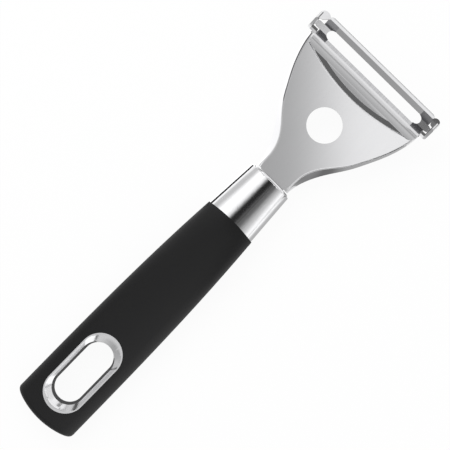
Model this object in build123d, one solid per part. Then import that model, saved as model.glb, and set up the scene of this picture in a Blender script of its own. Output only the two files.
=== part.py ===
from build123d import *
import math
import os

# Vegetable peeler with a swivelling twin-bar blade, in millimetres
# It lies on its back: X runs along the blade, +Y from the tail to the blade, +Z up

# Clearances and cuts
cut_over = 2.0             # every cutting body runs this far past what it cuts
slip_fit = 0.1             # flat fit of the tang in its slots
pin_fit = 0.03             # radial fit of the tang's pin
swivel_fit = 0.06          # radial running fit of the blade's tongues in the ears
stop_gap = 0.25            # blade to the ears' stop lobes when it rests against them

# Grip, over the hard core
grip_length = 106.8
grip_width_tail = 28.1
grip_width_front = 22.7
grip_height_tail = 13.4
grip_height_front = 18.2
grip_wall = 2.0
grip_sections = 7
taper_power = 3            # the taper gathers towards the front
tail_bow_radius = 36.0     # plan radius of the tail end
tail_edge_radius = 2.2
front_bow = 0.9            # rise of the grip's curved front edge
side_share = 0.85          # radius of an oval's sides, as a share of its half height

# Ferrule, a tapered oval tube, and the slotted plug in its mouth
ferrule_length = 21.1
ferrule_width_rear = 22.0
ferrule_height_rear = 17.7
ferrule_width_front = 19.3
ferrule_height_front = 17.0
ferrule_wall = 0.8
ferrule_rim_radius = 0.25
plug_depth = 3.0
plug_stand = 0.7           # how far the plug shows past the ferrule's rim
plug_edge_radius = 0.5

# Hanging eyelet, two rings pressed together through the handle
eyelet_from_tail = 24.7
eyelet_rim_width = 17.2
eyelet_rim_length = 36.5
eyelet_lip_width = 13.6    # where the sloping bezel meets the inner wall
eyelet_lip_length = 28.8
eyelet_waist_width = 11.8  # the narrowest place, where the two rings meet
eyelet_waist_length = 27.6
eyelet_land = 0.5          # flat rim round the bezel
eyelet_dish = 1.3          # fall of the bezel
eyelet_flange = 2.1
eyelet_sleeve_wall = 0.8
rim_stand = 0.3            # rims stand proud of the grip

# Head plate, one pressed sheet with skirts, ears and a tang
sheet = 1.1
plate_rise = 3.4           # top of the plate above the ferrule's axis
shoulder_gap = 1.2         # ferrule's mouth to the plate's shoulder
head_length = 55.3         # shoulder to the blade's swivel axis
neck_width = 14.5
skirt_depth = 4.8
skirt_reach = 2.9          # most that a skirt splays outwards
skirt_wall = 1.27          # the slanted skirt's thickness, cut square across
fold_radius = 0.8
plate_hole_radius = 7.05
hole_from_shoulder = 28.7
front_arc_radius = 78.0
front_arc_back = 12.3      # middle of the plate's hollow front edge, behind the swivel axis
lip_reach = 2.6
lip_drop = 3.8
lip_land = 2.0             # flat strip that the lip is folded from
lip_end_gap = 0.6          # each end of the lip to the arm beside it
tang_width = 12.0
tang_length = 36.0
pin_radius = 1.5
pin_from_tang_end = 6.0
pin_recess = 0.4

# Along the plate from shoulder to ears, spread from neck to head, reach of the skirt
head_shares = [
    (0.0, 0.0, 0.26),
    (0.09, 0.009, 0.43),
    (0.182, 0.03, 0.86),
    (0.2725, 0.124, 1.0),
    (0.363, 0.293, 0.79),
    (0.453, 0.475, 0.5),
    (0.543, 0.61, 0.38),
    (0.633, 0.724, 0.33),
    (0.72, 0.825, 0.28),
    (0.814, 0.911, 0.24),
    (0.904, 0.972, 0.18),
    (1.0, 1.0, 0.17),
]

# Ears: a web steps each one out from its skirt, and a lobe folds in over the blade's end
ear_span = 62.8
ear_step = 2.8             # plate's side edge to the ear's outer face
ear_back = 3.9             # these run from the swivel axis
ear_front = 3.6
ear_nose = 1.9
ear_nose_height = 1.5
web_thickness = 1.0
web_lean = 1.6
ear_fold_radius = 0.8      # rounds a wall's folds to its web and its lobe
lobe_back = 1.0
lobe_front = 3.8
lobe_bulge = 1.4
lobe_fall = 0.6            # a lobe slopes down from its wall to its tip
lobe_heel = 2.5            # straight rear edge of the lobe, across
lobe_skew = 0.6
lobe_overlap = 0.6         # how far a lobe reaches over the blade
ear_corner_radius = 0.9

# Blade, one formed strip: two bars round a long slot, joined at the ends by channels
blade_sheet = 0.7
blade_end_gap = 2.4        # end of the blade to the ear beside it, when it is centred
blade_slide = 0.65         # it lies this far to one side in its end play
swivel_sink = 0.8          # swivel axis below the plate's top
floor_width = 2.6
crest_height = 2.4         # crests of the bars above the channel's floor
rear_crest = 3.95          # these places run from the swivel axis
rear_edge = 8.4
rear_fall = 0.85
rear_bulge = 0.3
front_crest = 4.05
front_edge = 5.6
front_fall = 1.4
front_bulge = 0.35
slot_end_land = 3.15       # end of the slot to the end of the blade
slot_rear = 2.4
slot_front = 2.05
slot_end_radius = 2.0
bevel_fall = 1.0
lip_edge_fall = 1.2
cutting_edge = 0.05
guide_edge = 0.45
rear_corner_radius = 3.0
front_corner_radius = 1.6
tab_width = 32.8
tab_sagitta = 1.95
tab_fall = 0.25
tab_root = 0.4             # how far the tab is let into the bar
tongue_width = 1.74
tongue_neck = 1.2          # length over which a tongue narrows
tongue_inset = 0.2         # tongue's tip inside the ear's outer face

# Places worked out from the sizes above
total_length = grip_length + ferrule_length + shoulder_gap + head_length + front_edge
tail_y = -total_length / 2
grip_front_y = tail_y + grip_length
ferrule_front_y = grip_front_y + ferrule_length
shoulder_y = ferrule_front_y + shoulder_gap
swivel_y = shoulder_y + head_length
eyelet_y = tail_y + eyelet_from_tail
eyelet_top_z = grip_height_tail + 2 * rim_stand
ferrule_z = grip_height_front / 2
head_width = ear_span - 2 * ear_step
blade_length = ear_span - 2 * (sheet + blade_end_gap)
slot_length = blade_length - 2 * slot_end_land
plate_z = ferrule_z + plate_rise
swivel_z = plate_z - swivel_sink
skirt_foot = swivel_sink - skirt_depth           # skirt's foot from the swivel axis
arm_inner_x = head_width / 2 - skirt_wall
ear_inner_x = ear_span / 2 - sheet
tang_end_y = shoulder_y - tang_length
pin_y = tang_end_y + pin_from_tang_end
crest_z = blade_sheet / 2 + crest_height         # crests from the swivel axis
lobe_z = crest_z + stop_gap                      # underside of a lobe's tip, from the swivel axis
ear_top = lobe_z + lobe_fall + sheet             # top of the ears, from the swivel axis
tongue_radius = math.hypot(tongue_width / 2, blade_sheet / 2)
grip_half = grip_width_tail / 2 + cut_over
front_bow_radius = (grip_width_front**2 / 4 + front_bow**2) / (2 * front_bow)
front_bow_cut = front_bow_radius - math.sqrt(front_bow_radius**2 - grip_half**2)
spigot_back_y = grip_front_y - front_bow_cut - cut_over
side_plane = Plane(origin=(0, swivel_y, swivel_z), x_dir=(0, 1, 0), z_dir=(1, 0, 0))
plan_plane = Plane(origin=(0, swivel_y, swivel_z))


def oval(width, height, y, z):
    """Closed oval of four tangent arcs, square to Y, centred at height z."""
    half_width, half_height = width / 2, height / 2
    side = side_share * half_height
    crown = ((half_width - side) ** 2 + half_height**2 - side**2) / (2 * (half_height - side))
    touch_x = (half_width - side) * crown / (crown - side)
    touch_z = (crown - half_height) * side / (crown - side)
    with BuildSketch(Plane(origin=(0, y, z), x_dir=(1, 0, 0), z_dir=(0, -1, 0))) as face:
        with BuildLine():
            ThreePointArc((-touch_x, touch_z), (0, half_height), (touch_x, touch_z))
            ThreePointArc((touch_x, touch_z), (half_width, 0), (touch_x, -touch_z))
            ThreePointArc((touch_x, -touch_z), (0, -half_height), (-touch_x, -touch_z))
            ThreePointArc((-touch_x, -touch_z), (-half_width, 0), (-touch_x, touch_z))
        make_face()
    return face.sketch


# Handle

def handle_zone(inset):
    """Everything between the tail's bow, set in by inset, and the bow of the grip's front edge."""
    radius = tail_bow_radius - inset
    tail_cut = radius - math.sqrt(radius**2 - grip_half**2)
    near, far = tail_y + inset, grip_front_y
    with BuildSketch() as plan:
        with BuildLine():
            ThreePointArc((-grip_half, near + tail_cut), (0, near), (grip_half, near + tail_cut))
            Line((grip_half, near + tail_cut), (grip_half, far - front_bow_cut))
            ThreePointArc((grip_half, far - front_bow_cut), (0, far), (-grip_half, far - front_bow_cut))
            Line((-grip_half, far - front_bow_cut), (-grip_half, near + tail_cut))
        make_face()
    return extrude(plan.sketch, amount=total_length, both=True)


def grip_loft(inset):
    """The grip's outer form, set in all round by inset."""
    sections = []
    for step in range(grip_sections):
        along = step / (grip_sections - 1)
        taper = along**taper_power
        width = grip_width_tail + (grip_width_front - grip_width_tail) * taper
        height = grip_height_tail + (grip_height_front - grip_height_tail) * taper
        middle = rim_stand * (1 - taper) + height / 2
        y = tail_y + grip_length * along
        sections.append(oval(width - 2 * inset, height - 2 * inset, y, middle))
    return loft(sections)


def ferrule_cone(inset):
    """The ferrule's tapered oval, set in by inset, from under the grip to the plug's face."""
    sections = []
    for y in (spigot_back_y, ferrule_front_y + plug_stand):
        along = (y - grip_front_y) / ferrule_length
        width = ferrule_width_rear + (ferrule_width_front - ferrule_width_rear) * along
        height = ferrule_height_rear + (ferrule_height_front - ferrule_height_rear) * along
        sections.append(oval(width - 2 * inset, height - 2 * inset, y, ferrule_z))
    return loft(sections, ruled=True)


def behind(y):
    """Everything between the spigot's back and one place along the handle."""
    length = y - spigot_back_y
    return Location((0, y - length / 2, ferrule_z)) * Box(grip_width_tail, length, total_length)


def tang_room():
    """The slot for the tang, from behind its end to past the plug."""
    width, height = tang_width + 2 * slip_fit, sheet + 2 * slip_fit
    length = tang_length + slip_fit + cut_over
    middle = (0, tang_end_y - slip_fit + length / 2, plate_z - sheet / 2)
    return Location(middle) * Box(width, length, height)


def upright(radius, y):
    return Location((0, y, 0)) * Cylinder(radius, total_length)


def make_core():
    body = grip_loft(grip_wall) & handle_zone(grip_wall)
    body += (ferrule_cone(ferrule_wall) & behind(ferrule_front_y - plug_depth)) - handle_zone(0)
    return body - eyelet_room() - tang_room() - upright(pin_radius, pin_y)


def make_grip():
    outer = grip_loft(0) & handle_zone(0)
    tail = outer.faces().sort_by(Axis.Y)[0]
    outer = fillet(tail.edges(), tail_edge_radius)
    return outer - (grip_loft(grip_wall) & handle_zone(grip_wall)) - eyelet_room()


def make_ferrule():
    body = ferrule_cone(0) & behind(ferrule_front_y)
    rim = body.faces().sort_by(Axis.Y)[-1]
    body = fillet(rim.edges(), ferrule_rim_radius)
    return body - ferrule_cone(ferrule_wall) - handle_zone(0)


def make_plug():
    plug = ferrule_cone(ferrule_wall) - behind(ferrule_front_y - plug_depth)
    front = plug.faces().sort_by(Axis.Y)[-1]
    return fillet(front.edges(), plug_edge_radius) - tang_room()


def make_pin():
    return upright(pin_radius - pin_fit, pin_y) & grip_loft(grip_wall + pin_recess)


# Eyelet

def round_slot(width, length, z):
    with BuildSketch(Plane.XY.offset(z)) as plan:
        with Locations((0, eyelet_y)):
            SlotOverall(length, width, rotation=90)
    return plan.sketch


def slot_prism(width, length, low, high):
    return extrude(round_slot(width, length, low), amount=high - low)


def slot_taper(low_size, low, high_size, high):
    return loft([round_slot(*low_size, low), round_slot(*high_size, high)], ruled=True)


def eyelet_sleeve(low, high):
    width = eyelet_lip_width + 2 * eyelet_sleeve_wall
    return slot_prism(width, eyelet_lip_length + 2 * eyelet_sleeve_wall, low, high)


def eyelet_room():
    """What both rings fill, with their opening."""
    over = eyelet_top_z + cut_over
    upper = slot_prism(eyelet_rim_width, eyelet_rim_length, eyelet_top_z - eyelet_flange, over)
    lower = slot_prism(eyelet_rim_width, eyelet_rim_length, -cut_over, eyelet_flange)
    return upper + lower + eyelet_sleeve(-cut_over, over)


def make_eyelet_front():
    """The upper ring: a dished flange on a sleeve that reaches the middle of the handle."""
    top, middle = eyelet_top_z, eyelet_top_z / 2
    waist = (eyelet_waist_width, eyelet_waist_length)
    lip = (eyelet_lip_width, eyelet_lip_length)
    rim = (eyelet_rim_width - 2 * eyelet_land, eyelet_rim_length - 2 * eyelet_land)
    ring = slot_prism(eyelet_rim_width, eyelet_rim_length, top - eyelet_flange, top)
    ring += eyelet_sleeve(middle, top - eyelet_flange)
    ring -= slot_taper(waist, middle, lip, top - eyelet_dish)
    return ring - slot_taper(lip, top - eyelet_dish, rim, top)


def make_eyelet_back():
    return mirror(make_eyelet_front(), about=Plane.XY.offset(eyelet_top_z / 2))


# Head plate

def plate_section(y, spread, reach):
    """Cross-section of the plate and its two skirts."""
    flat = (neck_width + (head_width - neck_width) * spread) / 2
    splay = skirt_reach * reach
    foot = flat + splay
    inner = flat + splay * sheet / skirt_depth - skirt_wall
    right = [(flat, 0), (foot, -skirt_depth), (foot - skirt_wall, -skirt_depth), (inner, -sheet)]
    left = [(-x, z) for x, z in reversed(right)]
    with BuildSketch(Plane(origin=(0, y, plate_z), x_dir=(1, 0, 0), z_dir=(0, -1, 0))) as face:
        Polygon(*right, *left, align=None)
    return face.sketch


def skirted_plate():
    """The plate with its skirts, which run on as arms to the ears' webs."""
    run = head_length - ear_back
    sections = [plate_section(shoulder_y + run * along, spread, reach) for along, spread, reach in head_shares]
    _, spread, reach = head_shares[-1]
    sections.append(plate_section(shoulder_y + run + web_lean + 2 * web_thickness, spread, reach))
    body = loft(sections)
    for depth, radius in ((0, fold_radius), (sheet, fold_radius / 2)):
        folds = body.edges().filter_by(
            lambda edge: all(abs(v.Z - plate_z + depth) < slip_fit for v in edge.vertices())
            and edge.bounding_box().size.Y > run / 2
        )
        body = fillet(folds, radius)
    return body


def ahead_of_web():
    """What the arms lose in front of the leaning webs."""
    face_y = web_thickness - ear_back
    over = web_lean / skirt_depth * cut_over
    top, foot = swivel_sink + cut_over, skirt_foot - cut_over
    far = face_y + 2 * web_lean + cut_over
    with BuildSketch(side_plane) as face:
        Polygon(
            (face_y - over, top),
            (face_y + web_lean + over, foot),
            (far, foot),
            (far, top),
            align=None,
        )
    return extrude(face.sketch, amount=ear_span, both=True)


def ahead_of_arc():
    """Where the flat plate ends, between the arms: inside the arc of its hollow front edge."""
    radius = front_arc_radius + lip_land
    centre = (0, swivel_y - front_arc_back + front_arc_radius, plate_z - sheet / 2)
    disc = Location(centre) * Cylinder(radius, sheet + cut_over)
    width = 2 * (arm_inner_x - lip_end_gap)
    return disc & (Location(centre) * Box(width, 2 * radius, total_length))


def front_lip():
    """Lip folded down from the plate's hollow front edge, turned about the arc's centre."""
    slope = math.hypot(lip_reach, lip_drop)
    across, down = sheet * lip_drop / slope, sheet * lip_reach / slope
    heel = front_arc_radius + sheet * (lip_drop**2 - (slope - lip_reach) * lip_reach) / (lip_drop * slope)
    centre = Vector(0, swivel_y - front_arc_back + front_arc_radius, plate_z)
    half_angle = math.degrees(math.asin((arm_inner_x - lip_end_gap) / front_arc_radius))
    with BuildSketch(Plane(origin=centre, x_dir=(0, -1, 0), z_dir=(-1, 0, 0))) as face:
        Polygon(
            (front_arc_radius + lip_land, 0),
            (front_arc_radius, 0),
            (front_arc_radius - lip_reach, -lip_drop),
            (front_arc_radius - lip_reach + across, -lip_drop - down),
            (heel, -sheet),
            (front_arc_radius + lip_land, -sheet),
            align=None,
        )
        for x, radius in ((front_arc_radius, fold_radius), (heel, fold_radius / 2)):
            fillet(face.vertices().filter_by(lambda v: abs(v.X - x) < slip_fit), radius)
    upright_axis = Axis(centre, (0, 0, 1))
    start = face.sketch.rotate(upright_axis, -half_angle)
    return revolve(start, upright_axis, revolution_arc=2 * half_angle)


def right_ear(blade_end):
    """Web, wall with the swivel hole, and the stop lobe folded in over the blade's end."""
    half = ear_span / 2
    with BuildSketch(side_plane) as web:
        Polygon(
            (-ear_back, swivel_sink),
            (web_thickness - ear_back, swivel_sink),
            (web_thickness + web_lean - ear_back, skirt_foot),
            (web_lean - ear_back, skirt_foot),
            align=None,
        )
    reach_in = arm_inner_x + skirt_reach * head_shares[-1][-1]
    ear = Location((reach_in, 0, 0)) * extrude(web.sketch, amount=half - reach_in)
    with BuildSketch(side_plane) as wall:
        Polygon(
            (-ear_back, swivel_sink),
            (web_lean - ear_back, skirt_foot),
            (ear_nose, skirt_foot),
            (ear_front, ear_nose_height),
            (lobe_front, ear_top),
            (lobe_back, ear_top),
            align=None,
        )
        fillet(wall.vertices().sort_by(Axis.Y)[-3:-2], ear_corner_radius)
        Circle(tongue_radius + swivel_fit, mode=Mode.SUBTRACT)
    ear += Location((ear_inner_x, 0, 0)) * extrude(wall.sketch, amount=sheet)
    ear += right_lobe(blade_end - lobe_overlap)
    outer = ear.edges().filter_by(lambda edge: all(abs(v.X - half) < slip_fit for v in edge.vertices()))
    return fillet([outer.sort_by(Axis.Y)[0], outer.sort_by(Axis.Z)[-1]], ear_fold_radius)


def right_lobe(tip):
    """Stop lobe, sloping down from the wall to its tip."""
    half = ear_span / 2
    with BuildSketch(plan_plane) as plan:
        with BuildLine():
            Polyline((half, lobe_front), (half, lobe_back), (half - lobe_heel, lobe_back + lobe_skew), (tip, lobe_front))
            ThreePointArc((tip, lobe_front), ((tip + half) / 2, lobe_front + lobe_bulge), (half, lobe_front))
        make_face()
    with BuildSketch(Plane(origin=(0, swivel_y, swivel_z), x_dir=(1, 0, 0), z_dir=(0, -1, 0))) as slab:
        Polygon((half, ear_top), (tip, lobe_z + sheet), (tip, lobe_z), (half, lobe_z + lobe_fall), align=None)
    return extrude(plan.sketch, amount=ear_top) & extrude(slab.sketch, amount=ear_span, both=True)


def make_head_plate():
    body = skirted_plate() - ahead_of_web() - ahead_of_arc()
    body += front_lip()
    tang_middle = (0, (tang_end_y + shoulder_y) / 2, plate_z - sheet / 2)
    body += Location(tang_middle) * Box(tang_width, tang_length, sheet)
    body += right_ear(blade_length / 2 + blade_slide)
    body += mirror(right_ear(blade_length / 2 - blade_slide), about=Plane.YZ)
    return body - upright(plate_hole_radius, shoulder_y + hole_from_shoulder) - upright(pin_radius, pin_y)


# Blade

def bar_strip(side, crest, edge, fall, bulge, inner_points):
    """Cross-section of a bar on one side: its curved strip, and the outline running inwards from its crest."""
    middle = ((edge + crest) / 2, crest_z - fall / 2 + bulge)
    with BuildSketch(side_plane) as face:
        with BuildLine():
            top = ThreePointArc(*[(side * y, z) for y, z in ((edge, crest_z - fall), middle, (crest, crest_z))])
            share = 1 - blade_sheet / top.radius
            under = [top.arc_center + (place - top.arc_center) * share for place in (top @ 1, top @ 0.5, top @ 0)]
            Line(top @ 1, under[0])
            ThreePointArc(*under)
            Line(under[-1], top @ 0)
        make_face()
        crest_under = (side * under[0].X, under[0].Y)
        Polygon(*[(side * y, z) for y, z in ((crest, crest_z), *inner_points, crest_under)], align=None)
    return face.sketch


def channel_points(crest):
    """Down the wall to the middle of the floor and back along the underside."""
    half, level = floor_width / 2, blade_sheet / 2
    lean = math.atan2(crest_height, crest - half)
    under = half + blade_sheet * math.tan(lean / 2)
    heel = (crest + blade_sheet * math.sin(lean), crest_z - blade_sheet * math.cos(lean))
    return [(half, level), (0, level), (0, -level), (under, -level), heel]


def blade_plan():
    """The strip's outline from above, square at first, then rounded at its four corners."""
    with BuildSketch(plan_plane) as plan:
        middle = (front_edge - rear_edge) / 2
        with Locations((0, middle)):
            Rectangle(blade_length, front_edge + rear_edge)
        corners = plan.vertices().sort_by(Axis.Y)
        fillet(corners[:2], rear_corner_radius)
        fillet(plan.vertices().sort_by(Axis.Y)[-2:], front_corner_radius)
    return extrude(plan.sketch, amount=total_length, both=True)


def blade_slot():
    """Room of the long slot with its round ends, between the end channels."""
    straight = slot_length - 2 * slot_end_radius
    with BuildSketch(plan_plane) as plan:
        SlotCenterToCenter(straight, 2 * slot_end_radius)
    return extrude(plan.sketch, amount=total_length, both=True)


def rear_tab():
    """Bowed tab along the middle of the rear bar."""
    top, back, root, half = crest_z - rear_fall, -rear_edge - tab_sagitta, tab_root - rear_edge, tab_width / 2
    with BuildSketch(side_plane) as slab:
        Polygon(
            (root, top),
            (-rear_edge, top),
            (back, top - tab_fall),
            (back, top - tab_fall - blade_sheet),
            (-rear_edge, top - blade_sheet),
            (root, top - blade_sheet),
            align=None,
        )
    with BuildSketch(plan_plane) as bow:
        with BuildLine():
            ThreePointArc((-half, -rear_edge), (0, back), (half, -rear_edge))
            Polyline((half, -rear_edge), (half, root), (-half, root), (-half, -rear_edge))
        make_face()
    slab_body = extrude(slab.sketch, amount=tab_width, both=True)
    return slab_body & extrude(bow.sketch, amount=total_length, both=True)


def tongues():
    """Floor of the channels run on to the ears, narrowed to flat pins with rounded edges."""
    half = blade_length / 2
    tip = ear_span / 2 - tongue_inset
    shoulder = ear_inner_x - swivel_fit
    wide, narrow = floor_width / 2, tongue_width / 2
    right = [(half - cut_over, wide), (shoulder - tongue_neck, wide), (shoulder, narrow), (tip, narrow)]
    lower = [(x, -y) for x, y in reversed(right)]
    with BuildSketch(plan_plane.offset(-blade_sheet / 2)) as plan:
        Polygon(*right, *lower, align=None)
    tongue = extrude(plan.sketch, amount=blade_sheet)
    return tongue + mirror(tongue, about=Plane.YZ)


def make_blade():
    bars = [
        (-1, rear_crest, rear_edge, rear_fall, rear_bulge, (slot_rear, bevel_fall, cutting_edge)),
        (1, front_crest, front_edge, front_fall, front_bulge, (slot_front, lip_edge_fall, guide_edge)),
    ]
    middle_half = slot_length / 2 - slot_end_radius
    middle_room = Location((0, swivel_y, swivel_z)) * Box(2 * middle_half, total_length, total_length)
    blade = Part()
    for side, crest, edge, fall, bulge, (slot_edge, edge_fall, edge_thickness) in bars:
        edge_z = crest_z - edge_fall
        channel = bar_strip(side, crest, edge, fall, bulge, channel_points(crest))
        blade += extrude(channel, amount=blade_length / 2, both=True) - middle_room
        bar = bar_strip(side, crest, edge, fall, bulge, [(slot_edge, edge_z), (slot_edge, edge_z - edge_thickness)])
        blade += extrude(bar, amount=middle_half, both=True)
    blade -= blade_slot()
    blade &= blade_plan()
    blade = Location((blade_slide, 0, 0)) * blade
    blade += rear_tab()
    return blade + tongues()


pieces = {
    "head_plate": make_head_plate,
    "swivel_blade": make_blade,
    "ferrule": make_ferrule,
    "ferrule_plug": make_plug,
    "handle_core": make_core,
    "grip_sleeve": make_grip,
    "eyelet_front": make_eyelet_front,
    "eyelet_back": make_eyelet_back,
    "tang_pin": make_pin,
}

os.makedirs("parts", exist_ok=True)
for name, make in pieces.items():
    export_step(make(), f"parts/{name}.step")
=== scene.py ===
import math

import bmesh
import bpy
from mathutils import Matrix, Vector


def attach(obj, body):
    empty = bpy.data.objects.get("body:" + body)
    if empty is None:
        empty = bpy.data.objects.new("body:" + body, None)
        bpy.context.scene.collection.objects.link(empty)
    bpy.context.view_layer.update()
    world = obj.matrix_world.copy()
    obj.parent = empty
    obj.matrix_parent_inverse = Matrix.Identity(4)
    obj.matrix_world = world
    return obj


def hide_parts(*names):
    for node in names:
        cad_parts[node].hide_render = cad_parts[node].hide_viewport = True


# The peeler lies on its back: +Y from the tail to the blade, +X along the blade, +Z up, all in metres
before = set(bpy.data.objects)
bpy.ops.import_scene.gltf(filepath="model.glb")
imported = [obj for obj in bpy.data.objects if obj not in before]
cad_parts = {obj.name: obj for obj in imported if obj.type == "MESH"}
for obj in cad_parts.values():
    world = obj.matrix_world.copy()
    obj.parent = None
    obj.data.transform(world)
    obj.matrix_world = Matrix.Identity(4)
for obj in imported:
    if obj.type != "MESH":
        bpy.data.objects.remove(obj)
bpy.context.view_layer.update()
print("frame loaded:", ", ".join(sorted(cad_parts)))

mm = 0.001

mergeGap = 0.002 * mm       # corners of a CAD node nearer than this are one
flatAngle = 0.3             # degrees: faces that turn less than this are made one


# Material helpers

def newMaterial(name):
    material = bpy.data.materials.new(name)
    material.use_nodes = True
    return material, material.node_tree.nodes, material.node_tree.links


def shaderOf(material):
    return next(n for n in material.node_tree.nodes if n.type == "BSDF_PRINCIPLED")


def objectNoise(nodes, links, scale, stretch=(1, 1, 1), detail=3.0):
    # noise in the piece's own metres, drawn out along an axis where its stretch is small
    coords = nodes.new("ShaderNodeTexCoord")
    mapping = nodes.new("ShaderNodeMapping")
    mapping.inputs["Scale"].default_value = stretch
    noise = nodes.new("ShaderNodeTexNoise")
    noise.inputs["Scale"].default_value = scale
    noise.inputs["Detail"].default_value = detail
    links.new(coords.outputs["Object"], mapping.inputs["Vector"])
    links.new(mapping.outputs["Vector"], noise.inputs["Vector"])
    return noise


def ranged(nodes, links, source, low, high):
    spread = nodes.new("ShaderNodeMapRange")
    spread.inputs["To Min"].default_value = low
    spread.inputs["To Max"].default_value = high
    links.new(source, spread.inputs["Value"])
    return spread.outputs["Result"]


def addBump(nodes, links, shader, height, strength, distance):
    bump = nodes.new("ShaderNodeBump")
    bump.inputs["Strength"].default_value = strength
    bump.inputs["Distance"].default_value = distance
    links.new(height, bump.inputs["Height"])
    links.new(bump.outputs["Normal"], shader.inputs["Normal"])


def steelMaterial(name, look):
    # soft grain along one axis, and smears that vary the gloss
    material, nodes, links = newMaterial(name)
    shader = shaderOf(material)
    shader.inputs["Metallic"].default_value = 1.0
    grain = objectNoise(nodes, links, look["grainScale"], look["grainStretch"], 4.0)
    smears = objectNoise(nodes, links, look["smearScale"])
    tone = nodes.new("ShaderNodeMix")
    tone.data_type = "RGBA"
    tone.inputs["A"].default_value = (*look["darkTone"], 1)
    tone.inputs["B"].default_value = (*look["lightTone"], 1)
    links.new(grain.outputs["Fac"], tone.inputs["Factor"])
    links.new(tone.outputs["Result"], shader.inputs["Base Color"])
    gloss = ranged(nodes, links, smears.outputs["Fac"], *look["roughness"])
    links.new(gloss, shader.inputs["Roughness"])
    addBump(nodes, links, shader, grain.outputs["Fac"], look["grainBump"], 0.02 * mm)
    return material


def plasticMaterial(name, look):
    # fine matte grain and faint mottling
    material, nodes, links = newMaterial(name)
    shader = shaderOf(material)
    shader.inputs["Specular IOR Level"].default_value = look["specular"]
    grain = objectNoise(nodes, links, look["grainScale"], detail=2.0)
    mottle = objectNoise(nodes, links, look["mottleScale"])
    tone = nodes.new("ShaderNodeMix")
    tone.data_type = "RGBA"
    tone.inputs["A"].default_value = (*look["darkTone"], 1)
    tone.inputs["B"].default_value = (*look["lightTone"], 1)
    links.new(mottle.outputs["Fac"], tone.inputs["Factor"])
    links.new(tone.outputs["Result"], shader.inputs["Base Color"])
    gloss = ranged(nodes, links, mottle.outputs["Fac"], *look["roughness"])
    links.new(gloss, shader.inputs["Roughness"])
    addBump(nodes, links, shader, grain.outputs["Fac"], look["grainBump"], 0.03 * mm)
    return material


plateSteel = steelMaterial("plateSteel", {
    "darkTone": (0.72, 0.72, 0.73),
    "lightTone": (0.75, 0.75, 0.76),
    "roughness": (0.06, 0.08),
    "grainScale": 900.0,
    "grainStretch": (1.0, 0.06, 1.0),
    "smearScale": 60.0,
    "grainBump": 0.008,
})
bladeSteel = steelMaterial("bladeSteel", {
    "darkTone": (0.66, 0.66, 0.67),
    "lightTone": (0.73, 0.73, 0.74),
    "roughness": (0.09, 0.13),
    "grainScale": 900.0,
    "grainStretch": (0.06, 1.0, 1.0),
    "smearScale": 80.0,
    "grainBump": 0.03,
})
# the ground bevel: rougher, with coarse grind marks, and a greyer tone that is painted shade
bevelGrindAndShadeSteel = steelMaterial("bevelGrindAndShadeSteel", {
    "darkTone": (0.36, 0.36, 0.37),
    "lightTone": (0.66, 0.66, 0.67),
    "roughness": (0.24, 0.32),
    "grainScale": 2600.0,
    "grainStretch": (1.0, 0.03, 0.03),
    "smearScale": 200.0,
    "grainBump": 0.35,
})
# darker steel for the channel's end walls: its dark tone is painted shade
paintedShadeSteel = steelMaterial("paintedShadeSteel", {
    "darkTone": (0.25, 0.25, 0.26),
    "lightTone": (0.32, 0.32, 0.33),
    "roughness": (0.18, 0.26),
    "grainScale": 900.0,
    "grainStretch": (0.06, 1.0, 1.0),
    "smearScale": 120.0,
    "grainBump": 0.05,
})
ferruleSteel = steelMaterial("ferruleSteel", {
    "darkTone": (0.80, 0.80, 0.81),
    "lightTone": (0.85, 0.85, 0.86),
    "roughness": (0.05, 0.09),
    "grainScale": 700.0,
    "grainStretch": (1.0, 0.1, 1.0),
    "smearScale": 90.0,
    "grainBump": 0.01,
})
eyeletSteel = steelMaterial("eyeletSteel", {
    "darkTone": (0.76, 0.76, 0.77),
    "lightTone": (0.82, 0.82, 0.83),
    "roughness": (0.12, 0.18),
    "grainScale": 800.0,
    "grainStretch": (1.0, 1.0, 1.0),
    "smearScale": 120.0,
    "grainBump": 0.02,
})
pinSteel = steelMaterial("pinSteel", {
    "darkTone": (0.5, 0.5, 0.51),
    "lightTone": (0.6, 0.6, 0.61),
    "roughness": (0.3, 0.4),
    "grainScale": 900.0,
    "grainStretch": (1.0, 1.0, 0.1),
    "smearScale": 200.0,
    "grainBump": 0.05,
})
softBlack = plasticMaterial("softBlack", {
    "darkTone": (0.0062, 0.0062, 0.0065),
    "lightTone": (0.0080, 0.0080, 0.0084),
    "specular": 0.26,
    "roughness": (0.5, 0.58),
    "grainScale": 5200.0,
    "mottleScale": 45.0,
    "grainBump": 0.25,
})
hardBlack = plasticMaterial("hardBlack", {
    "darkTone": (0.012, 0.012, 0.0125),
    "lightTone": (0.018, 0.018, 0.0185),
    "specular": 0.45,
    "roughness": (0.35, 0.45),
    "grainScale": 3000.0,
    "mottleScale": 120.0,
    "grainBump": 0.15,
})
print("materials made")


# Mesh helpers

def pieceFrom(bm, name, material, body="handle"):
    mesh = bpy.data.meshes.new(name)
    bm.to_mesh(mesh)
    bm.free()
    piece = bpy.data.objects.new(name, mesh)
    bpy.context.collection.objects.link(piece)
    mesh.materials.append(material)
    evenNormals = piece.modifiers.new("evenNormals", "WEIGHTED_NORMAL")
    evenNormals.keep_sharp = True
    evenNormals.weight = 100
    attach(piece, body)
    return piece


def smoothShade(bm, sharpAngle):
    # smooth faces, with the edges sharper than an angle kept crisp
    for face in bm.faces:
        face.smooth = True
    for edge in bm.edges:
        edge.smooth = len(edge.link_faces) == 2 and edge.calc_face_angle(0) < math.radians(sharpAngle)


def mergedCopy(nodeName):
    # a joined-up copy of a CAD node, with its flat faces made whole
    bm = bmesh.new()
    bm.from_mesh(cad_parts[nodeName].data)
    bmesh.ops.remove_doubles(bm, verts=bm.verts, dist=mergeGap)
    bmesh.ops.dissolve_limit(bm, angle_limit=math.radians(flatAngle), verts=bm.verts, edges=bm.edges)
    return bm


def between(value, span):
    return span[0] < value < span[1]


# Head plate

headLook = {"sharpAngle": 28}

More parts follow.
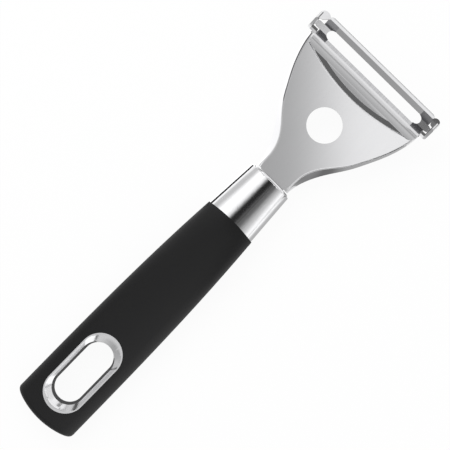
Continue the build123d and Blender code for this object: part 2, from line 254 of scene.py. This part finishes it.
bm = mergedCopy("head_plate")
smoothShade(bm, headLook["sharpAngle"])
headPlate = pieceFrom(bm, "headPlate", plateSteel)
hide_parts("head_plate")
print("head plate made")

# Blade

bladeLook = {
    "sharpAngle": 28,
    "axisY": 0.0894,
    "slotHalf": 22.7 * mm,        # straight part of the slot
    "slide": 0.65 * mm,
    "bevel": (-3.9 * mm, -2.4 * mm),
    "bevelFacing": 0.3,           # the ground bevel faces forward by more than this
    "wall": (1.3 * mm, 4.0 * mm),
    "wallFacing": 0.5,            # the channel's walls face along Y by more than this
    "topFacing": 0.4,             # and both face up by at least this
}

bm = mergedCopy("swivel_blade")
smoothShade(bm, bladeLook["sharpAngle"])
for face in bm.faces:
    middle, facing = face.calc_center_median(), face.normal
    across = abs(middle.x - bladeLook["slide"])
    along = middle.y - bladeLook["axisY"]
    besideSlot = across < bladeLook["slotHalf"]
    onBevel = between(along, bladeLook["bevel"]) and facing.y > bladeLook["bevelFacing"]
    onWall = between(abs(along), bladeLook["wall"]) and abs(facing.y) > bladeLook["wallFacing"]
    if facing.z < bladeLook["topFacing"]:
        continue
    # faces on the ground bevel take the rougher steel whose greyer tone is painted shade
    if besideSlot and onBevel:
        face.material_index = 1
    # the channel's end walls take the darker steel, which is painted shade
    elif across > bladeLook["slotHalf"] and onWall:
        face.material_index = 2
bladeStrip = pieceFrom(bm, "bladeStrip", bladeSteel, "blade")
bladeStrip.data.materials.append(bevelGrindAndShadeSteel)
bladeStrip.data.materials.append(paintedShadeSteel)
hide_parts("swivel_blade")
print("blade made")

# Ferrule

ferruleLook = {"sharpAngle": 30}

bm = mergedCopy("ferrule")
smoothShade(bm, ferruleLook["sharpAngle"])
ferruleTube = pieceFrom(bm, "ferruleTube", ferruleSteel)
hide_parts("ferrule")
print("ferrule made")

# Eyelet rings

eyeletLook = {"sharpAngle": 30}

for nodeName, pieceName in (("eyelet_front", "eyeletUpper"), ("eyelet_back", "eyeletLower")):
    bm = mergedCopy(nodeName)
    smoothShade(bm, eyeletLook["sharpAngle"])
    ring = pieceFrom(bm, pieceName, eyeletSteel)
    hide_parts(nodeName)
print("eyelet made")

# Grip

gripLook = {"sharpAngle": 35}

bm = mergedCopy("grip_sleeve")
smoothShade(bm, gripLook["sharpAngle"])
grip = pieceFrom(bm, "softGrip", softBlack)
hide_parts("grip_sleeve")
print("grip made")

# CAD nodes that keep their shape

plainNodes = {"ferrule_plug": ferruleSteel, "handle_core": hardBlack, "tang_pin": pinSteel}

for nodeName, material in plainNodes.items():
    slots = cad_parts[nodeName].material_slots
    for index in range(len(slots)):
        slots[index].material = material
print("plug, core and pin dressed")


# Stage

stage = {
    "floorHalf": 1.6,
    "floorSink": 0.1 * mm,   # below what lies on it
    "floorColor": 0.86,
    "floorRoughness": 0.9,
    "floorSpecular": 0.1,
    "whiteSeen": 0.93,       # share of plain white in the floor as the camera sees it
    "whiteMirrored": 0.45,   # and as steel and glass see it
    "worldLevel": 0.8,
    "skyAlong": (1, 1, 0),   # the mirrored sky gets lighter this way
    "sky": (
        (-1.0, 0.55), (-0.6, 0.42), (-0.48, 0.52), (-0.3, 0.66), (-0.15, 0.75), (-0.03, 0.66),
        (0.0, 0.50), (0.012, 0.465), (0.028, 0.475), (0.042, 0.59), (0.050, 0.75), (0.058, 0.93),
        (0.066, 1.07), (0.078, 1.12), (0.15, 1.06), (0.35, 1.06), (0.6, 1.12), (1.0, 1.2),
    ),
}


def linkedMath(nodes, links, operation, first, second):
    node = nodes.new("ShaderNodeMath")
    node.operation = operation
    for socket, value in zip(node.inputs, (first, second)):
        if isinstance(value, (int, float)):
            socket.default_value = value
        else:
            links.new(value, socket)
    return node.outputs[0]


def floorShares(nodes, links):
    # how much plain white the camera, and then mirrors and glass, see in the floor
    paths = nodes.new("ShaderNodeLightPath")
    glossy, through = paths.outputs["Is Glossy Ray"], paths.outputs["Is Transmission Ray"]
    mirrored = linkedMath(nodes, links, "MAXIMUM", glossy, through)
    mirrored = linkedMath(nodes, links, "MULTIPLY", mirrored, stage["whiteMirrored"])
    seen = linkedMath(nodes, links, "MULTIPLY", paths.outputs["Is Camera Ray"], stage["whiteSeen"])
    return linkedMath(nodes, links, "MAXIMUM", seen, mirrored)


def stagePiece(name, bm, material):
    mesh = bpy.data.meshes.new(name)
    bm.to_mesh(mesh)
    bm.free()
    piece = bpy.data.objects.new(name, mesh)
    bpy.context.collection.objects.link(piece)
    mesh.materials.append(material)
    return piece


def makeFloor():
    material, nodes, links = newMaterial("floorPaper")
    shader = shaderOf(material)
    tone = stage["floorColor"]
    shader.inputs["Base Color"].default_value = (tone, tone, tone, 1)
    shader.inputs["Roughness"].default_value = stage["floorRoughness"]
    shader.inputs["Specular IOR Level"].default_value = stage["floorSpecular"]
    output = next(n for n in nodes if n.type == "OUTPUT_MATERIAL")
    glow = nodes.new("ShaderNodeEmission")
    glow.inputs["Color"].default_value = (1, 1, 1, 1)
    glow.inputs["Strength"].default_value = 1.0
    blend = nodes.new("ShaderNodeMixShader")
    links.new(floorShares(nodes, links), blend.inputs["Fac"])
    links.new(shader.outputs[0], blend.inputs[1])
    links.new(glow.outputs[0], blend.inputs[2])
    links.new(blend.outputs[0], output.inputs["Surface"])
    bm = bmesh.new()
    bmesh.ops.create_grid(bm, x_segments=1, y_segments=1, size=stage["floorHalf"])
    bmesh.ops.translate(bm, verts=bm.verts, vec=(0, 0, -stage["floorSink"]))
    stagePiece("floor", bm, material)


def makePaper(name, look):
    # a paper seen by mirrors only, whose brightness runs along X unless its look names another axis
    material, nodes, links = newMaterial(name)
    nodes.remove(shaderOf(material))
    coords = nodes.new("ShaderNodeTexCoord")
    split = nodes.new("ShaderNodeSeparateXYZ")
    links.new(coords.outputs["Object"], split.inputs[0])
    ramp = look["ramp"]
    place = nodes.new("ShaderNodeMapRange")
    place.inputs["From Min"].default_value = ramp[0][0]
    place.inputs["From Max"].default_value = ramp[-1][0]
    links.new(split.outputs[look.get("axis", "X")], place.inputs["Value"])
    glow = nodes.new("ShaderNodeEmission")
    links.new(rampNode(nodes, links, place.outputs["Result"], ramp), glow.inputs["Strength"])
    output = next(n for n in nodes if n.type == "OUTPUT_MATERIAL")
    links.new(glow.outputs[0], output.inputs["Surface"])
    bm = bmesh.new()
    bm.faces.new([bm.verts.new(corner) for corner in look["corners"]])
    paper = stagePiece(name, bm, material)
    paper.visible_camera = False
    paper.visible_diffuse = False
    paper.visible_shadow = False


def levelCorners(z, *places):
    return [(x, y, z) for x, y in places]


def levelRectangle(z, lowX, lowY, highX, highY):
    return levelCorners(z, (lowX, lowY), (highX, lowY), (highX, highY), (lowX, highY))


def uprightRectangle(x, lowY, highY, highZ, lowZ=0):
    return [(x, lowY, lowZ), (x, highY, lowZ), (x, highY, highZ), (x, lowY, highZ)]


def evenRamp(brightness):
    return ((-1, brightness), (1, brightness))


def rampNode(nodes, links, source, ramp):
    # a ramp of brightness over its own span, worked in halves because a ramp's colours stop at 1
    low, high = ramp[0][0], ramp[-1][0]
    node = nodes.new("ShaderNodeValToRGB")
    node.color_ramp.interpolation = "LINEAR"
    elements = node.color_ramp.elements
    while len(elements) < len(ramp):
        elements.new(0.5)
    for element, (at, level) in zip(elements, ramp):
        element.position = (at - low) / (high - low)
    for element, (at, level) in zip(elements, ramp):
        element.color = (level / 2, level / 2, level / 2, 1)
    links.new(source, node.inputs["Fac"])
    return linkedMath(nodes, links, "MULTIPLY", node.outputs["Color"], 2.0)


def makeWorld():
    world = bpy.data.worlds.new("studio")
    bpy.context.scene.world = world
    world.use_nodes = True
    nodes, links = world.node_tree.nodes, world.node_tree.links
    background = next(n for n in nodes if n.type == "BACKGROUND")
    background.inputs["Color"].default_value = (1, 1, 1, 1)
    paths = nodes.new("ShaderNodeLightPath")
    coords = nodes.new("ShaderNodeTexCoord")
    along = nodes.new("ShaderNodeVectorMath")
    along.operation = "DOT_PRODUCT"
    along.inputs[1].default_value = Vector(stage["skyAlong"]).normalized()
    links.new(coords.outputs["Generated"], along.inputs[0])
    sky = stage["sky"]
    place = nodes.new("ShaderNodeMapRange")
    place.inputs["From Min"].default_value = sky[0][0]
    place.inputs["From Max"].default_value = sky[-1][0]
    links.new(along.outputs["Value"], place.inputs["Value"])
    mirrored = rampNode(nodes, links, place.outputs["Result"], sky)
    lit = nodes.new("ShaderNodeMix")
    lit.inputs["A"].default_value = stage["worldLevel"]
    links.new(paths.outputs["Is Glossy Ray"], lit.inputs["Factor"])
    links.new(mirrored, lit.inputs["B"])
    strength = nodes.new("ShaderNodeMix")
    strength.inputs["B"].default_value = 1.0
    links.new(paths.outputs["Is Camera Ray"], strength.inputs["Factor"])
    links.new(lit.outputs["Result"], strength.inputs["A"])
    links.new(strength.outputs["Result"], background.inputs["Strength"])


def makeLamp(name, look):
    data = bpy.data.lights.new(name, "AREA")
    data.shape = "RECTANGLE"
    data.size, data.size_y = look["size"]
    data.energy = look["power"]
    lamp = bpy.data.objects.new(name, data)
    bpy.context.collection.objects.link(lamp)
    lamp.location = look["place"]
    aim = Vector(look["aim"]) - Vector(look["place"])
    lamp.rotation_euler = aim.to_track_quat("-Z", "Y").to_euler()
    lamp.visible_glossy = False


makeFloor()
makeWorld()
makeLamp("keyLamp", {"place": (-0.7, 0.3, 0.9), "aim": (0, 0, 0), "size": (0.8, 0.8), "power": 6.0})

papers = {
    # close over the ferrule: white on the left, a black band at the middle, then grey to white
    "ferrulePaper": {
        "corners": levelCorners(
            0.030, (-0.130, 0.009), (0.130, 0.009), (0.130, 0.052), (0.060, 0.042), (0.030, 0.038),
            (0.009, 0.0344), (-0.009, 0.0344), (-0.030, 0.038), (-0.060, 0.042), (-0.130, 0.052),
        ),
        "ramp": (
            (-0.1300, 0.65), (-0.0920, 0.65), (-0.0611, 0.76), (-0.0459, 0.92), (-0.0366, 1.10),
            (-0.0300, 1.25), (-0.0110, 1.25), (-0.0089, 1.12), (-0.0074, 0.98), (-0.0060, 0.79),
            (-0.0046, 0.45), (-0.0034, 0.20), (-0.0021, 0.05), (-0.0009, 0.024), (0.0020, 0.024),
            (0.0041, 0.053), (0.0056, 0.11), (0.0070, 0.08), (0.0083, 0.14), (0.0098, 0.13),
            (0.0134, 0.19), (0.0178, 0.38), (0.0240, 0.56), (0.0338, 0.70), (0.0540, 0.94),
            (0.0900, 1.15), (0.1300, 1.25),
        ),
    },
    # to the left: light for the left skirt and fold, with a grey strip for the ferrule's left side
    "leftPaper": {"corners": uprightRectangle(-0.5, -0.1, 0.5, 0.4), "ramp": evenRamp(1.3)},
    "leftFloorPaper": {
        "corners": levelRectangle(0.0002, -0.45, 0.005, -0.010, 0.100),
        "ramp": ((-0.45, 0.62), (-0.13, 0.66), (-0.07, 0.95), (-0.045, 1.2), (-0.010, 1.35)),
    },
    "leftLowPaper": {"corners": uprightRectangle(-0.499, -0.1, 0.5, 0.080), "ramp": evenRamp(0.64)},
    "leftRimPaper": {
        "corners": levelRectangle(0.0004, -0.032, 0.008, -0.018, 0.036),
        "ramp": evenRamp(0.04),
    },
    "rightRimPaper": {
        "corners": levelRectangle(0.0002, 0.012, 0.008, 0.200, 0.036),
        "ramp": ((0.012, 0.50), (0.030, 0.55), (0.047, 0.78), (0.080, 1.2), (0.200, 1.2)),
    },
    # by the right skirt, and far off to the right and back for its fold; close by for the left fold
    "rightSkirtPaper": {
        "corners": levelRectangle(0.0004, 0.0125, 0.0363, 0.080, 0.080),
        "ramp": (
            (0.0363, 0.45), (0.0395, 0.30), (0.043, 0.19), (0.047, 0.20), (0.054, 0.42), (0.080, 0.52),
        ),
        "axis": "Y",
    },
    "rightFoldPaper": {"corners": uprightRectangle(0.5, -0.60, 0.0, 0.60), "ramp": evenRamp(0.08)},
    "leftFoldPaper": {"corners": uprightRectangle(-0.040, 0.046, 0.086, 0.030), "ramp": evenRamp(0.15)},
    # close over the blade: light grey to white for its rear bar, dark for its channel's right end
    "rearBarPaper": {
        "corners": levelCorners(
            0.030, (-0.036, 0.0850), (-0.025, 0.0850), (-0.022, 0.0812), (0.022, 0.0812),
            (0.025, 0.0850), (0.036, 0.0850), (0.036, 0.0872), (-0.036, 0.0872),
        ),
        "ramp": ((0.0812, 0.78), (0.0820, 0.82), (0.0853, 0.94), (0.0872, 1.12)),
        "axis": "Y",
    },
    "channelPaper": {
        "corners": levelRectangle(0.030, 0.0235, 0.0885, 0.0310, 0.0945),
        "ramp": evenRamp(0.22),
    },
    # round the hanging hole: light for the bezel's left, greyer with a dark spot for its right,
    # and dark for the hole's wall
    "bezelRightPaper": {"corners": uprightRectangle(0.050, -0.13, -0.02, 0.060), "ramp": evenRamp(1.3)},
    "bezelLeftPaper": {"corners": uprightRectangle(-0.050, -0.13, -0.02, 0.060), "ramp": evenRamp(0.60)},
    "bezelDarkPaper": {
        "corners": uprightRectangle(-0.049, -0.075, -0.060, 0.055, 0.019),
        "ramp": evenRamp(0.06),
    },
    "holePaper": {
        "corners": levelRectangle(0.0002, -0.0046, -0.083, 0.0046, -0.060),
        "ramp": evenRamp(0.08),
    },
    # on the floor under the blade: mirrored in the plate's folded lip
    "lipPaper": {"corners": levelRectangle(0.0004, -0.040, 0.086, 0.040, 0.112), "ramp": evenRamp(0.15)},
    # far off to the right: mirrored in the folds of the neck and the right ear
    "rightWallPaper": {"corners": uprightRectangle(0.5, 0.0, 0.25, 0.60, 0.10), "ramp": evenRamp(0.30)},
    # high up over the grip: mirrored in the blade's rear tab
    "tabPaper": {
        "corners": levelRectangle(0.5, -0.10, -0.085, 0.10, 0.015),
        "ramp": ((-0.085, 0.78), (-0.068, 0.74), (-0.041, 0.55), (-0.0065, 0.45), (0.015, 0.45)),
        "axis": "Y",
    },
    # high up on either side: mirrored in what slopes inwards at the far ear
    "rightEarPaper": {
        "corners": levelRectangle(0.3, -0.095, 0.088, -0.045, 0.165),
        "ramp": evenRamp(0.14),
    },
    "leftEarPaper": {"corners": levelRectangle(0.5, 0.08, 0.06, 0.60, 0.30), "ramp": evenRamp(0.86)},
}
for name, look in papers.items():
    makePaper(name, look)
print("stage made")

# Camera: almost straight above, turned so that the blade points to the upper right

shot = {
    "above": 0.75,
    "aim": (-0.00065, 0.0086),
    "turn": 44.3,
    "sharpZ": 10 * mm,       # the height at which a pixel is this wide
    "pixel": 0.3861 * mm,
    "pixels": 450,
    "sensor": 36.0,
}

cameraData = bpy.data.cameras.new("camera")
camera = bpy.data.objects.new("camera", cameraData)
bpy.context.collection.objects.link(camera)
bpy.context.scene.camera = camera
camera.location = (shot["aim"][0], shot["aim"][1], shot["above"])
camera.rotation_euler = (0, 0, math.radians(shot["turn"]))
cameraData.sensor_width = shot["sensor"]
cameraData.lens = shot["sensor"] * (shot["above"] - shot["sharpZ"]) / (shot["pixels"] * shot["pixel"])
bpy.context.scene.view_settings.view_transform = "Standard"
print("camera placed")
